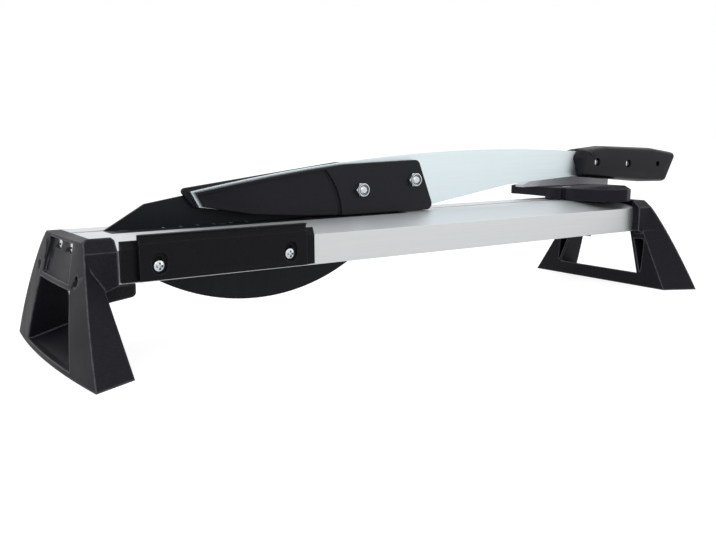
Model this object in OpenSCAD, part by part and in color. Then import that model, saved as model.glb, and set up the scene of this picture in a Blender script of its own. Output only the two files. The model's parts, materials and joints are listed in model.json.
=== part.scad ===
// Lever cutter for laminate and vinyl planks: a slotted table on two feet, with a pivoting blade,
// a height-adjustable front plate and a sliding, swivelling angle stop.
// X runs along the table, Y away from the front face, Z up from the ground.

/* [Table] */
// Length of the table extrusion
table_length = 610; // [570:5:690]
// Width of the table, front face to rear face
table_width = 96; // [92:1:108]
// Height of the flat bed above the ground
table_top = 95; // [90:1:110]
// Height of the table extrusion
table_depth = 34; // [32:1:40]
// How far the front edge lies below the bed
ramp_drop = 8.2; // [5:0.1:11]
// Width of the flat bed in front of the cutting plane
bed_width = 24.4; // [22:0.1:28]
// Distance of the cutting plane behind the table's centre line
cut_plane = 15; // [14:0.1:16]
// Width of the groove that the blade drops into
blade_gap = 6.6; // [6.2:0.1:7.6]
// Wall of the table extrusion
table_wall = 2.6; // [2:0.1:3.2]
// Thickness of the web under the bed, in front of the groove
bed_web = 11; // [10:0.5:13]

/* [Feet] */
// Distance from the table's end to the foot's outer base corners
foot_reach = 25; // [24:1:30]
// Width of a foot on the ground
foot_width = 224; // [200:1:260]
// Length of a foot's base along the table
foot_depth = 33; // [31:1:38]
// How far the outer face bows out in plan
foot_bulge = 6.5; // [3:0.5:9]
// Lean of the outer face towards the table at the ground, degrees
outer_lean = 7.5; // [5:0.1:8]
// Radius of the outer face's upright bow
face_round = 732; // [600:4:1200]
// Radius that rounds the outer face into the top
crown_round = 6; // [4:0.5:8]
// Lean of the inner face away from the table, degrees
inner_lean = 6.8; // [6:0.2:9]
// How far the inner edge of each side face lies in from its outer edge
side_step = 17.5; // [14:0.5:20]
// Lean of a leg's side face, degrees
side_lean = 30.8; // [28:0.2:32]
// Thickness of the cheeks beside the table's ends
cheek_wall = 9.8; // [8:0.1:12]
// How far the cheek over the tongue reaches along the table
cheek_overlap = 12; // [10:0.5:14.5]
// How far the plain cheek reaches along the table
plain_overlap = 8; // [6:0.5:12]
// Height of the foot's ridge and plain cheek above the bed
ridge_rise = 0; // [0:0.1:0.4]
// Height of the cheek over the tongue, above the bed
cheek_rise = 2.3; // [1.5:0.1:2.6]
// Width of the bevel along the top of the cheek over the tongue
shoulder_width = 8; // [5:0.5:8.5]
// Height of the bevel along the top of the cheek over the tongue
shoulder_height = 10; // [6:0.5:12]
// Width of the bevel along the plain cheek's top
plain_width = 11.5; // [8:0.5:13]
// Height of the bevel along the plain cheek's top
plain_height = 9.5; // [8:0.5:12]
// Height of the cheek below the table
cheek_drop = 4.5; // [3:0.5:8]
// Width of the window at its top
window_top_width = 86; // [76:1:90]
// Width of the window at its sill
window_sill_width = 126; // [110:1:136]
// How much narrower half the window is at the inner face
window_draw = 3; // [2:0.5:4]
// Height of the sill at the outer face
sill_outer = 4; // [3:0.5:8]
// Height of the sill at the inner face
sill_inner = 15; // [12:0.5:16]
// Wall of the hollow legs
leg_wall = 4; // [3:0.5:5]
// Width of the recessed panel at its top
panel_top_width = 64; // [56:1:70]
// Width of the recessed panel at its lower edge
panel_base_width = 76; // [70:1:80]
// Height of the recessed panel
panel_height = 29; // [26:1:29]
// Depth of the recessed panel
panel_depth = 3; // [2:0.5:4]
// Diameter of the two tie-down holes in the outer face
tie_hole_d = 8.5; // [6:0.5:10]
// Distance between the two tie-down holes
tie_hole_spacing = 104; // [100:1:108]
// Height of the tie-down holes above the ground
tie_hole_height = 67.5; // [66:0.5:72]
// Length of the tongue under the table, from the table's end
tongue_length = 27; // [20:1:28]
// Width of the tongue under the table
tongue_width = 32; // [24:1:36]
// Depth of the tongue below the table at its root
tongue_depth = 13.5; // [10:0.5:16]

/* [Blade] */
// Distance of the pivot from the table's left end
pivot_inset = 50; // [46:1:54]
// Depth of the pivot below the bed
pivot_depth = 11; // [10:0.5:13]
// Diameter of the pivot pin
pivot_d = 10; // [8:0.5:11]
// Thickness of the blade
blade_thick = 3; // [2.5:0.1:3.4]
// Radius of the cutting edge
edge_radius = 195; // [190:1:205]
// Distance from the pivot to the middle of the cutting edge
edge_middle = 115; // [110:1:120]
// How deep the cutting edge reaches below the bed
edge_depth = 70.5; // [66:0.5:76]
// Width of the ground bevel on the edge
edge_bevel = 2.5; // [1:0.1:4]
// Height of the wing's corner above the bed
wing_rise = 20; // [18:0.5:24]
// Distance of the wing's corner from the pivot
wing_corner = 10; // [8:0.5:14]
// Slope of the wing's pointed end, degrees
wing_slope = 30; // [26:1:34]

/* [Lever] */
// Thickness of the lever arm
lever_thick = 4; // [3:0.1:5]
// Distance from the pivot to the lever's heel
heel_reach = 48; // [44:0.5:52]
// Height of the lever's top edge at the heel, above the bed
heel_rise = 29; // [27:0.2:32]
// Height of the lever's crest above the bed
crest_rise = 59.2; // [56:0.1:66]
// Distance of the crest before the table's right end
crest_back = 169; // [140:1:190]
// Height of the neck's lower edge above the bed, at the handle
neck_rise = 26.4; // [25:0.2:28]
// Distance of the bend in the lower edge before the handle
knee_back = 101; // [85:1:110]
// Drop of the lower edge from the neck to the bend
knee_drop = 5.3; // [4:0.1:5.5]

/* [Guard] */
// Thickness of the front guard at its sunk panel
panel_thick = 4; // [3:0.5:5]
// Thickness of the front guard at its pad
pad_thick = 7; // [6:0.5:8]
// Thickness of the rear guard
rear_guard_thick = 4; // [3:0.5:5]
// Length of the pad past its right bolt
pad_past = 23.5; // [20:0.5:26]
// Length of the pad before its left bolt
pad_before = 21.5; // [19:0.5:26]
// Radius of the sunk panel's round end beside the pad
panel_round = 64; // [50:1:80]
// Width of the raised rim above the sunk panel
panel_rim = 2.5; // [1.5:0.1:4]
// Width of the pale edge of lever left bare above the front guard
guard_reveal = 1.2; // [0.6:0.1:2]
// Width of the lever left bare at its heel
heel_reveal = 3.2; // [2:0.1:4]
// How far the rear guard stands above the lever's top edge at the heel
rear_guard_rise = 4; // [3:0.1:5]
// Distance from the heel at which the rear guard's top meets the lever's edge
rear_guard_run = 180; // [150:5:200]
// Corner radius of the guards
guard_corner = 6; // [5:0.5:7]

/* [Handle] */
// Distance of the handle's root before the table's right end
handle_back = 46; // [42:1:50]
// Distance of the handle's tip past the table's right end
handle_past = 126; // [120:0.5:132]
// Thickness of one handle scale
scale_thick = 13; // [11:0.5:16]
// Height of the handle at its root
handle_root_height = 33; // [31.5:0.5:35]
// Height of the handle at its tip
handle_tip_height = 36.5; // [34:0.5:38]
// Radius that rounds the corners of the handle's outline
handle_round = 6; // [5.5:0.5:8]
// How far the handle's tip drops below its root
handle_droop = 6.4; // [5:0.2:8]
// Distance between the handle's screws
handle_pitch = 54.7; // [50:0.1:56]
// Diameter of the hanging hole in the handle
hang_hole_d = 6.4; // [4:0.2:8]

/* [Front plate] */
// Distance of the backing plate from the table's left end
backing_inset = 16; // [15.5:0.5:19]
// Length of the backing plate
backing_length = 167; // [160:1:180]
// Thickness of the backing plate
backing_thick = 4; // [3:0.5:5]
// Height of the backing plate above the table's front edge
backing_rise = 6.8; // [4:0.2:9]
// Distance of the front plate from the table's left end
plate_inset = 28; // [25:1:31]
// Length of the front plate
plate_length = 145; // [138:1:150]
// Thickness of the front plate
plate_thick = 5; // [4.5:0.5:7]
// Height of the front plate's top edge above the bed
plate_rise = 3.3; // [1:0.1:5]
// Height of the recessed band under the plate's top edge
band_height = 6; // [4:0.5:8]
// Depth of the recessed band
band_depth = 1.6; // [1:0.1:2]
// Height of the front plate
plate_height = 35.3; // [33:0.1:38]
// Travel of the front plate
plate_travel = 4.5; // [3:0.1:6]
// Distance of each plate screw from the plate's end
plate_screw_inset = 16; // [14:0.5:22]
// Height of the plate screws above the table's underside
plate_screw_rise = 12.6; // [11:0.2:14]

/* [Angle stop] */
// Distance of the stop's swivel from the table's right end
stop_inset = 43; // [42:1:64]
// Travel of the stop along the groove
stop_travel = 90; // [40:5:95]
// Height of the stop body
stop_height = 13.7; // [11:0.1:14.5]
// Radius of the stop's hub
stop_hub = 24; // [20:1:26]
// Length of the stop's rear arm from the swivel
stop_arm = 86; // [70:1:90]
// Width of the stop's rear arm
stop_arm_width = 36; // [30:1:38]
// Reach of the stop's wing to the right of its pivot
wing_reach = 71; // [60:1:74]
// Length of the stop's front block from the swivel
stop_front = 74; // [60:1:78]
// Length of the grey bar
bar_length = 147; // [110:1:150]
// Width of the grey bar
bar_width = 12; // [10:1:16]
// Height of the grey bar above the stop
bar_height = 10.5; // [8:0.5:12]
// How far the grey bar hangs below the stop's top beside the arm
bar_drop = 4; // [2:0.5:5]
// Diameter of the clamp knob
knob_d = 26; // [20:1:30]
// Height of the clamp knob
knob_height = 9; // [6:0.5:10]

/* [Fasteners] */
// Thread diameter of the blade bolts
bolt_d = 8; // [6:0.5:8]
// Distance from the pivot to the first blade bolt
bolt_reach = 216.5; // [212:0.5:220]
// Distance between the blade bolts
bolt_pitch = 62.5; // [60:0.5:65]
// Thread diameter of the foot screws
foot_screw_d = 4.5; // [4:0.5:5]
// Distance between the two screws in a foot
foot_screw_spacing = 30; // [29:0.5:31]
// Distance of the front one of those screws from the table's centre line
foot_screw_front = 21.5; // [20:0.5:22]
// Depth of the foot screws below the bed
foot_screw_depth = 6.7; // [6.5:0.1:8]
// Thread diameter of the plate screws
plate_screw_d = 5; // [4:0.5:5.5]
// Thread diameter of the handle screws
handle_screw_d = 5; // [4:0.5:6]
// Thread diameter of the small countersunk screws
small_screw_d = 4; // [3:0.5:4]
// Thread diameter of the stop's clamp screw
clamp_screw_d = 6; // [5:0.5:6]

/* [Clearances] */
// Gap between parts that slide past each other
slide_gap = 0.3; // [0.3:0.05:0.4]
// Radial clearance of the pivot pin in the blade
pivot_fit = 0.05; // [0.02:0.01:0.1]
// Radial clearance of a thread in its hole
thread_fit = 0.05; // [0.02:0.01:0.1]
// Gap between the table and the feet's cheeks
cheek_fit = 0.2; // [0.1:0.05:0.3]

/* [Hidden] */
$fn = 64;
hull_fn = 32;
wide_fn = 720;
lever_fn = 1440;
over = 1;

// Table section, seen along the table
left_end = -table_length / 2;
right_end = table_length / 2;
front_face = -table_width / 2;
rear_face = table_width / 2;
table_bottom = table_top - table_depth;
front_edge = table_top - ramp_drop;
foot_top = table_top + cheek_rise;
crease = cut_plane - bed_width;
groove_rear = cut_plane + blade_gap;
groove_middle = cut_plane + blade_gap / 2;
mid_web = 3;
port_r = foot_screw_d / 2 + thread_fit;
port_wall = 2.4;
port_z = table_top - foot_screw_depth;
port_y = [-foot_screw_front, foot_screw_spacing - foot_screw_front];

// Whole-object frame: the origin lies under the middle of the outer box
foot_x = table_length / 2 + foot_reach;
handle_tip = right_end + handle_past;
frame_shift = (foot_x + foot_bulge - handle_tip) / 2;

// Blade and lever, measured from the pivot
pivot_x = left_end + pivot_inset;
pivot_z = table_top - pivot_depth;
blade_front = cut_plane + slide_gap;
blade_back = blade_front + blade_thick;
lever_back = blade_front - rear_guard_thick;
lever_front = lever_back - lever_thick;
pad_front = lever_front - pad_thick;
edge_x = pivot_x + edge_middle;
edge_z = table_top - edge_depth + edge_radius;
half_chord = sqrt(pow(edge_radius, 2) - pow(edge_z - table_top, 2));
slot_margin = 3;
slot_left = edge_x - half_chord - slot_margin;
slot_right = edge_x + half_chord + slot_margin;
wing_x = pivot_x - pivot_d + wing_corner * 2;
wing_z = table_top + wing_rise;
heel_x = pivot_x + heel_reach;
heel_z = table_top + heel_rise;
crest_x = right_end - crest_back;
crest_z = table_top + crest_rise;
lever_radius = (pow(crest_x - heel_x, 2) + pow(crest_z - heel_z, 2)) / (2 * (crest_z - heel_z));
heel_height = 14;
heel_cut = 7;
handle_root = right_end - handle_back;
neck_z = table_top + neck_rise;
knee_x = handle_root - knee_back;
knee_z = neck_z - knee_drop;
bolt_x = [pivot_x + bolt_reach, pivot_x + bolt_reach + bolt_pitch];
pad_left = bolt_x[0] - pad_before;
pad_right = bolt_x[1] + pad_past;
rest_z = table_top + slide_gap;
pad_lift = 0.5;
toe_x = pad_right + 3.2;
toe_z = table_top + 4.9;
bolt_z = [table_top + 24, table_top + 31.4];
bolt_r = bolt_d / 2;
nut_height = bolt_d * 0.68;
nut_r = bolt_d * 0.9;
collar_height = nut_height * 0.25;
head_height = bolt_d * 0.65;
washer_thick = 1.6;

// Handle outline, as circle centres along the lever
root_top = neck_z + handle_root_height - 0.9;
root_low = root_top - handle_root_height;
tip_top = root_top - handle_droop;
tip_low = tip_top - handle_tip_height;
tip_slant = 14;
tang_margin = 4;
handle_screw_x = [handle_root + 27, handle_root + 27 + handle_pitch];
handle_screw_z = [root_top - 16.3, root_top - 19.2];
hang_hole_x = handle_screw_x[1] + handle_pitch;
hang_hole_z = root_top - 20.8;

// Front plate stack, measured forward from the table's front face
backing_front = front_face - backing_thick;
plate_back = backing_front - slide_gap;
plate_front = plate_back - plate_thick;
plate_left = left_end + plate_inset;
plate_top = table_top + plate_rise;
plate_screw_x = [plate_left + plate_screw_inset, plate_left + plate_length - plate_screw_inset];
plate_screw_z = table_bottom + plate_screw_rise;
plate_head_r = plate_screw_d * 0.87;
plate_head_h = plate_screw_d * 0.5;
pocket_r = plate_head_r + 1.6;
pocket_depth = plate_thick - 2;
backing_left = left_end + backing_inset;
backing_low = table_bottom + 1.5;
backing_high = front_edge + backing_rise;

// Angle stop, measured from its swivel
stop_x = right_end - stop_inset;
stop_base = table_top + slide_gap;
stop_top = stop_base + stop_height;
arm_lift = cheek_rise + 1.2;
clamp_r = clamp_screw_d / 2;
clamp_head_r = clamp_screw_d * 0.9;
clamp_head_h = clamp_screw_d * 0.6;
under_table = table_bottom - slide_gap;
bar_y = stop_hub + bar_width / 2 + 1;
bar_left = -45;
arm_side = -4;
arm_right = arm_side + stop_arm_width / 2;
bar_ease = 20;

// Counter blade
counter_thick = 3;
counter_front = crease + 0.5;
counter_left = slot_left + 12;
counter_length = slot_right - counter_left - 2;
counter_screw_y = cut_plane - bed_web / 2;
counter_screw_count = 4;

// Extrudes an outline drawn in X and Z from the given front plane backwards
module upright(front, thick) {
    translate([0, front + thick, 0])
        rotate([90, 0, 0])
            linear_extrude(thick)
                children();
}

// Extrudes a section drawn in Y and Z along the table
module lengthwise(start, length) {
    translate([start, 0, 0])
        rotate([90, 0, 90])
            linear_extrude(length)
                children();
}

// Round rod along Y between two planes
module cross_rod(x, z, front, back, r) {
    translate([x, front, z])
        rotate([-90, 0, 0])
            cylinder(r = r, h = back - front);
}

// Round rod along X between two planes
module long_rod(start, end, y, z, r) {
    translate([start, y, z])
        rotate([0, 90, 0])
            cylinder(r = r, h = end - start);
}

// Places a piece that was drawn about the table's middle in the object's frame
module in_frame() {
    translate([frame_shift, 0, 0])
        children();
}

// Solid through rings of four corners each, from the lowest to the highest
module ringed(rings) {
    n = len(rings[0]);
    last = n * (len(rings) - 1);
    polyhedron(
        points = [for (ring = rings) each ring],
        faces = concat(
            [[for (k = [0:n - 1]) k], [for (k = [n - 1:-1:0]) last + k]],
            [for (i = [0:n:last - n], k = [0:n - 1]) [i + k, i + k + n, i + (k + 1) % n + n]],
            [for (i = [0:n:last - n], k = [0:n - 1]) [i + k, i + (k + 1) % n + n, i + (k + 1) % n]]
        )
    );
}

// Domed screw head with a cross recess, its seat at the origin and its top along +Z
module pan_head(r, h) {
    recess_w = r * 0.4;
    recess_l = r * 1.3;
    dome = r * 1.8;
    difference() {
        intersection() {
            cylinder(r = r, h = h);
            translate([0, 0, h - dome])
                sphere(r = dome);
        }
        for (turn = [0, 90])
            rotate([0, 0, turn])
                translate([-recess_l / 2, -recess_w / 2, h * 0.4])
                    cube([recess_l, recess_w, h]);
    }
}

// Countersunk screw, its flat top at the origin and its thread along -Z
module flat_screw(d, length) {
    cone_h = d * 0.5;
    difference() {
        union() {
            translate([0, 0, -cone_h])
                cylinder(r1 = d / 2, r2 = d, h = cone_h);
            translate([0, 0, -length])
                cylinder(r = d / 2, h = length - cone_h);
        }
        for (turn = [0, 90])
            rotate([0, 0, turn])
                translate([-d * 0.5, -d * 0.12, -d * 0.3])
                    cube([d, d * 0.24, d]);
    }
}

// Room for a countersunk screw, drawn as the screw is
module flat_screw_room(d, length) {
    cone_h = d * 0.5;
    translate([0, 0, -cone_h])
        cylinder(r1 = d / 2 + thread_fit, r2 = d + thread_fit, h = cone_h);
    translate([0, 0, -length])
        cylinder(r = d / 2 + thread_fit, h = length);
}

// Hexagon with its corners eased by a cone at each end
module hex_block(r, h) {
    ease = r * 0.14;
    flat_r = r * cos(30);
    intersection() {
        cylinder(r = r, h = h, $fn = 6);
        union() {
            cylinder(r1 = flat_r, r2 = r, h = ease);
            translate([0, 0, ease])
                cylinder(r = r, h = h - 2 * ease);
            translate([0, 0, h - ease])
                cylinder(r1 = r, r2 = flat_r, h = ease);
        }
    }
}

// Half width of the window at a height
function window_half(z) =
    window_sill_width / 2
    - (window_sill_width - window_top_width) / 2 * (z - sill_outer) / (table_bottom - sill_outer);

// Inner face of a foot at a height, in from its outer base edge
function foot_inner(z) = foot_depth - z * tan(inner_lean);

// Half width of a foot at a distance in from its outer base edge and a height
function foot_half(u, z) =
    foot_width / 2 - z * tan(side_lean)
    - side_step * (u - z * tan(outer_lean)) / (foot_inner(z) - z * tan(outer_lean));

// Middle of the outer face at a height, in from the foot's outer base corners
function face_in(z) =
    face_round * cos(outer_lean)
    - sqrt(pow(face_round, 2) - pow(z + face_round * sin(outer_lean), 2))
    - foot_bulge;

// Radius of the outer face's bow on the ground
plan_radius = (pow(foot_width / 2, 2) + pow(foot_bulge, 2)) / (2 * foot_bulge);

// Corner where the outer face meets a leg's side at a height, in from the foot's outer base corners
function corner_in(z) =
    plan_radius - foot_bulge
    - sqrt(pow(plan_radius - foot_bulge - face_in(z), 2) - pow(foot_width / 2 - z * tan(side_lean), 2));

// Bowed, leaning face that bounds a foot on its outer side, rounded over at its top
module outer_face(inset) {
    crown_z = foot_top - crown_round;
    crown_r = plan_radius - foot_bulge - face_in(crown_z) - crown_round;
    translate([plan_radius - foot_bulge + inset, 0, 0])
        rotate_extrude($fn = wide_fn) {
            intersection() {
                translate([plan_radius - face_round * cos(outer_lean), -face_round * sin(outer_lean)])
                    circle(r = face_round, $fn = wide_fn);
                translate([0, -over])
                    square([plan_radius + over, crown_z + over]);
            }
            translate([0, crown_z - over])
                square([crown_r, crown_round + over]);
            translate([crown_r, crown_z])
                circle(r = crown_round);
        }
}

// Both legs and the end wall as one tapering block with twisted side faces
module leg_block() {
    start = -foot_bulge - over;
    levels = 6;
    ringed([
        for (i = [0:levels])
            let (
                z = foot_top * i / levels,
                edge = corner_in(z),
                end = foot_inner(z),
                wide = foot_half(edge, z),
                slim = foot_half(end, z)
            )
                [
                    [start, -wide, z], [edge, -wide, z], [end, -slim, z],
                    [end, slim, z], [edge, wide, z], [start, wide, z]
                ]
    ]);
}

// Hollow of one leg, open towards the table: it narrows downwards between the window and the side
module leg_hollow() {
    low = sill_inner + 1;
    high = table_bottom - cheek_drop - leg_wall;
    end = foot_depth + over;
    side = foot_half(foot_inner(high), high) - leg_wall / 2;
    ringed([
        for (z = [low, high])
            let (start = face_in(z) + foot_bulge + leg_wall, near = window_half(z) - window_draw + leg_wall)
                [[start, near, z], [end, near, z], [end, side, z], [start, side, z]]
    ]);
}

// Window through a foot, a little narrower towards the table
module window_room() {
    start = -foot_bulge - over;
    end = foot_depth + over;
    top = table_bottom - 1.5;
    ringed([
        for (z = [-over, top])
            let (half = window_half(z))
                [
                    [start, -half, z], [end, window_draw - half, z],
                    [end, half - window_draw, z], [start, half, z]
                ]
    ]);
}

// End wall and the two cheeks that hold the table's end
module cheek_block() {
    half = rear_face + cheek_fit + cheek_wall;
    low = table_bottom - cheek_drop;
    ease = 2;
    lengthwise(-foot_bulge, foot_reach + foot_bulge)
        translate([-half, low])
            square([2 * half, foot_top - low]);
    for (cheek = [[-half, cheek_overlap], [half - cheek_wall, plain_overlap]]) {
        reach = foot_reach + cheek[1];
        upright(cheek[0], cheek_wall)
            polygon([
                [0, low], [foot_reach - ease, low], [reach, table_bottom + 1],
                [reach, foot_top - ease], [reach - ease, foot_top], [0, foot_top]
            ]);
    }
}

// Bevels along both shoulders, and the room above the ridge and the plain cheek
module top_cuts() {
    half = rear_face + cheek_fit + cheek_wall;
    lengthwise(-foot_bulge - over, 3 * foot_depth) {
        for (bevel = [[1, shoulder_width, shoulder_height], [0, plain_width, plain_height]])
            mirror([bevel[0], 0])
                polygon([
                    [half - bevel[1], foot_top], [half + bevel[1], foot_top - 2 * bevel[2]],
                    [half + 2 * bevel[1], foot_top + over], [half - bevel[1], foot_top + over]
                ]);
        translate([front_face - cheek_fit, table_top + ridge_rise])
            square([table_width + 2 * cheek_wall, table_depth]);
    }
}

// Tongue that the table lies on
module tongue() {
    corner = 4;
    end = foot_reach + tongue_length;
    root = foot_reach - 2;
    rise = tongue_depth * 0.26;
    front = front_face - 2;
    upright(front, tongue_width)
        hull() {
            translate([end - corner, table_bottom - tongue_depth + rise + corner])
                circle(r = corner, $fn = hull_fn);
            polygon([
                [root, table_bottom - tongue_depth], [root, table_bottom], [end, table_bottom]
            ]);
        }
}

// Recess in the outer face that holds the screws
module panel_recess() {
    high = table_top - 2.5;
    low = high - panel_height;
    difference() {
        lengthwise(-foot_bulge - over, foot_reach)
            polygon([
                [-panel_base_width / 2, low], [panel_base_width / 2, low],
                [panel_top_width / 2, high], [-panel_top_width / 2, high]
            ]);
        outer_face(panel_depth);
    }
}

// Seat of the foot screws' heads, in from the outer base edge
screw_seat = face_in(port_z) + panel_depth + 2;
foot_head_r = foot_screw_d * 0.95;
foot_head_h = foot_screw_d * 0.6;
foot_thread = 12;

// One foot, drawn with its outer base edge at the origin and the table along +X;
// the hand sets which way its screw holes lie
module foot(hand) {
    difference() {
        intersection() {
            union() {
                leg_block();
                cheek_block();
            }
            outer_face(0);
        }
        top_cuts();
        window_room();
        for (side = [0, 1])
            mirror([0, side, 0])
                leg_hollow();
        translate([foot_reach, front_face - cheek_fit, table_bottom])
            cube([foot_depth, table_width + 2 * cheek_fit, table_depth]);
        panel_recess();
        for (y = port_y) {
            long_rod(-foot_bulge - over, screw_seat, hand * y, port_z, foot_head_r + slide_gap);
            long_rod(0, foot_depth, hand * y, port_z, port_r);
        }
        for (side = [-1, 1])
            long_rod(
                -foot_bulge - over, foot_reach - leg_wall,
                side * tie_hole_spacing / 2, tie_hole_height, tie_hole_d / 2
            );
    }
    intersection() {
        leg_block();
        outer_face(0);
        upright(-foot_width / 2, foot_width)
            polygon([
                [-foot_bulge - over, 0], [-foot_bulge - over, sill_outer],
                [0, sill_outer], [foot_depth, sill_inner], [foot_depth, 0]
            ]);
    }
    tongue();
}

module left_foot() {
    color("#2b2b2e")
        in_frame()
            translate([-foot_x, 0, 0])
                foot(1);
}

module right_foot() {
    color("#2b2b2e")
        in_frame()
            translate([foot_x, 0, 0])
                rotate([0, 0, 180])
                    foot(-1);
}

// Outer section of the table
module table_outline() {
    polygon([
        [front_face, table_bottom], [rear_face, table_bottom], [rear_face, table_top],
        [groove_rear, table_top], [groove_rear, table_bottom + table_wall],
        [cut_plane, table_bottom + table_wall], [cut_plane, table_top],
        [crease, table_top], [front_face, front_edge]
    ]);
}

// Hollows of the table section, beside the mid web and behind the groove
module table_hollows() {
    floor_z = table_bottom + table_wall;
    roof_z = table_top - table_wall - counter_thick;
    front_in = front_face + table_wall;
    slope = ramp_drop / (crease - front_face);
    ramp_in = front_edge + slope * table_wall - table_wall;
    web_front = port_y[0] - mid_web / 2;
    web_back = port_y[0] + mid_web / 2;
    roof_at_web = min(roof_z, ramp_in + slope * (web_front - front_in));
    polygon([
        [front_in, floor_z], [web_front, floor_z], [web_front, roof_at_web], [front_in, ramp_in]
    ]);
    polygon([
        [web_back, floor_z], [cut_plane - bed_web, floor_z], [cut_plane - bed_web, roof_z], [web_back, roof_z]
    ]);
    polygon([
        [groove_rear + table_wall, floor_z], [rear_face - table_wall, floor_z],
        [rear_face - table_wall, table_top - table_wall], [groove_rear + table_wall, table_top - table_wall]
    ]);
}

module table() {
    color("#d8dbda")
        in_frame()
            difference() {
                lengthwise(left_end, table_length)
                    difference() {
                        union() {
                            difference() {
                                table_outline();
                                table_hollows();
                            }
                            intersection() {
                                table_outline();
                                translate([port_y[0], port_z])
                                    circle(r = port_r + port_wall);
                            }
                        }
                        for (y = port_y)
                            translate([y, port_z])
                                circle(r = port_r);
                    }
                translate([slot_left, cut_plane, table_bottom - over])
                    cube([slot_right - slot_left, blade_gap, table_depth]);
                translate([stop_x - stop_travel - clamp_r, cut_plane, table_bottom - over])
                    cube([stop_travel + 2 * clamp_r + slide_gap, blade_gap, table_depth]);
                translate([counter_left, counter_front, table_top - counter_thick])
                    cube([counter_length, cut_plane - counter_front, counter_thick + over]);
                counter_places()
                    translate([0, 0, -counter_screw_length - over])
                        cylinder(r = small_screw_d / 2 + thread_fit, h = counter_screw_length);
                cross_rod(pivot_x, pivot_z, front_face + table_wall + over, rear_face + over, pivot_d / 2 + pivot_fit);
                backing_places()
                    cylinder(r = small_screw_d / 2 + thread_fit, h = 4 * backing_thick);
                for (x = plate_screw_x)
                    cross_rod(x, plate_screw_z, front_face - over, front_face + table_wall + over,
                        plate_screw_d / 2 + thread_fit);
            }
}

// Four pan screws that hold the table in the feet
module foot_screws() {
    color("#d9dcdf")
        in_frame()
            for (hand = [1, -1])
                rotate([0, 0, hand > 0 ? 0 : 180])
                    for (y = port_y)
                        translate([-foot_x, hand * y, port_z]) {
                            long_rod(screw_seat, foot_reach + foot_thread, 0, 0, foot_screw_d / 2);
                            translate([screw_seat, 0, 0])
                                rotate([0, -90, 0])
                                    pan_head(foot_head_r, foot_head_h);
                        }
}

counter_screw_length = 14;
counter_pitch = (counter_length - 30) / (counter_screw_count - 1);

// Places of the counter blade's screws, at the bed with the thread along -Z
module counter_places() {
    for (i = [0:counter_screw_count - 1])
        translate([counter_left + 15 + i * counter_pitch, counter_screw_y, table_top])
            children();
}

module counter_blade() {
    color("#2a2c30")
        in_frame()
            difference() {
                translate([counter_left, counter_front, table_top - counter_thick])
                    cube([counter_length, cut_plane - counter_front, counter_thick]);
                counter_places()
                    flat_screw_room(small_screw_d, counter_screw_length);
            }
}

module counter_screws() {
    color("#55575b")
        in_frame()
            counter_places()
                flat_screw(small_screw_d, counter_screw_length);
}

pin_front = cut_plane - bed_web - 4;
pin_head_h = 3;
clip_thick = 1;

// Headed pin put in from behind, with a groove for its clip
module pivot_pin() {
    color("#c9ccd0")
        in_frame()
            difference() {
                union() {
                    cross_rod(pivot_x, pivot_z, pin_front, rear_face, pivot_d / 2);
                    cross_rod(pivot_x, pivot_z, rear_face, rear_face + pin_head_h, pivot_d * 0.8);
                }
                difference() {
                    cross_rod(pivot_x, pivot_z, cut_plane - bed_web - clip_thick - slide_gap,
                        cut_plane - bed_web, pivot_d);
                    cross_rod(pivot_x, pivot_z, pin_front - over, rear_face, pivot_d * 0.4);
                }
            }
}

module pivot_clip() {
    color("#8c9095")
        in_frame()
            difference() {
                cross_rod(pivot_x, pivot_z, cut_plane - bed_web - clip_thick - slide_gap / 2,
                    cut_plane - bed_web - slide_gap / 2, pivot_d * 0.75);
                cross_rod(pivot_x, pivot_z, pin_front - over, rear_face, pivot_d * 0.4 + pivot_fit);
                translate([pivot_x - pivot_d * 0.3, pin_front - over, pivot_z])
                    cube([pivot_d * 0.6, pivot_d, pivot_d]);
                translate([pivot_x - pivot_d, pin_front - over, pivot_z + pivot_d * 0.3])
                    cube([2 * pivot_d, pivot_d, pivot_d]);
            }
}

module pivot_spacer() {
    color("#c9ccd0")
        in_frame()
            difference() {
                cross_rod(pivot_x, pivot_z, blade_back + slide_gap, groove_rear, pivot_d * 0.8);
                cross_rod(pivot_x, pivot_z, blade_back - over, groove_rear + over, pivot_d / 2 + pivot_fit);
            }
}

backing_screw_z = (table_bottom + front_edge) / 2 + 5;
backing_screw_length = backing_thick + 8;

// Places of the backing plate's screws, at its face with the thread along +Y
module backing_places() {
    for (share = [0.38, 0.72])
        translate([backing_left + share * backing_length, backing_front, backing_screw_z])
            rotate([-90, 0, 0])
                children();
}

module backing_plate() {
    chamfer = backing_thick * 0.75;
    color("#242527")
        in_frame()
            difference() {
                lengthwise(backing_left, backing_length)
                    polygon([
                        [front_face, backing_low], [front_face, backing_high],
                        [backing_front + chamfer, backing_high], [backing_front, backing_high - 2 * chamfer],
                        [backing_front, backing_low]
                    ]);
                backing_places()
                    mirror([0, 0, 1])
                        flat_screw_room(small_screw_d, backing_screw_length);
                for (x = plate_screw_x)
                    cross_rod(x, plate_screw_z, backing_front - over, front_face + over,
                        plate_screw_d / 2 + thread_fit);
            }
}

module backing_screws() {
    color("#55575b")
        in_frame()
            backing_places()
                mirror([0, 0, 1])
                    flat_screw(small_screw_d, backing_screw_length);
}

// Upright slot for one plate screw, as wide as twice the radius
module plate_slot(x, front, back, r) {
    upright(front, back - front) {
        translate([x, plate_screw_z])
            circle(r = r);
        translate([x, plate_screw_z + plate_travel])
            circle(r = r);
        translate([x - r, plate_screw_z])
            square([2 * r, plate_travel]);
    }
}

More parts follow.
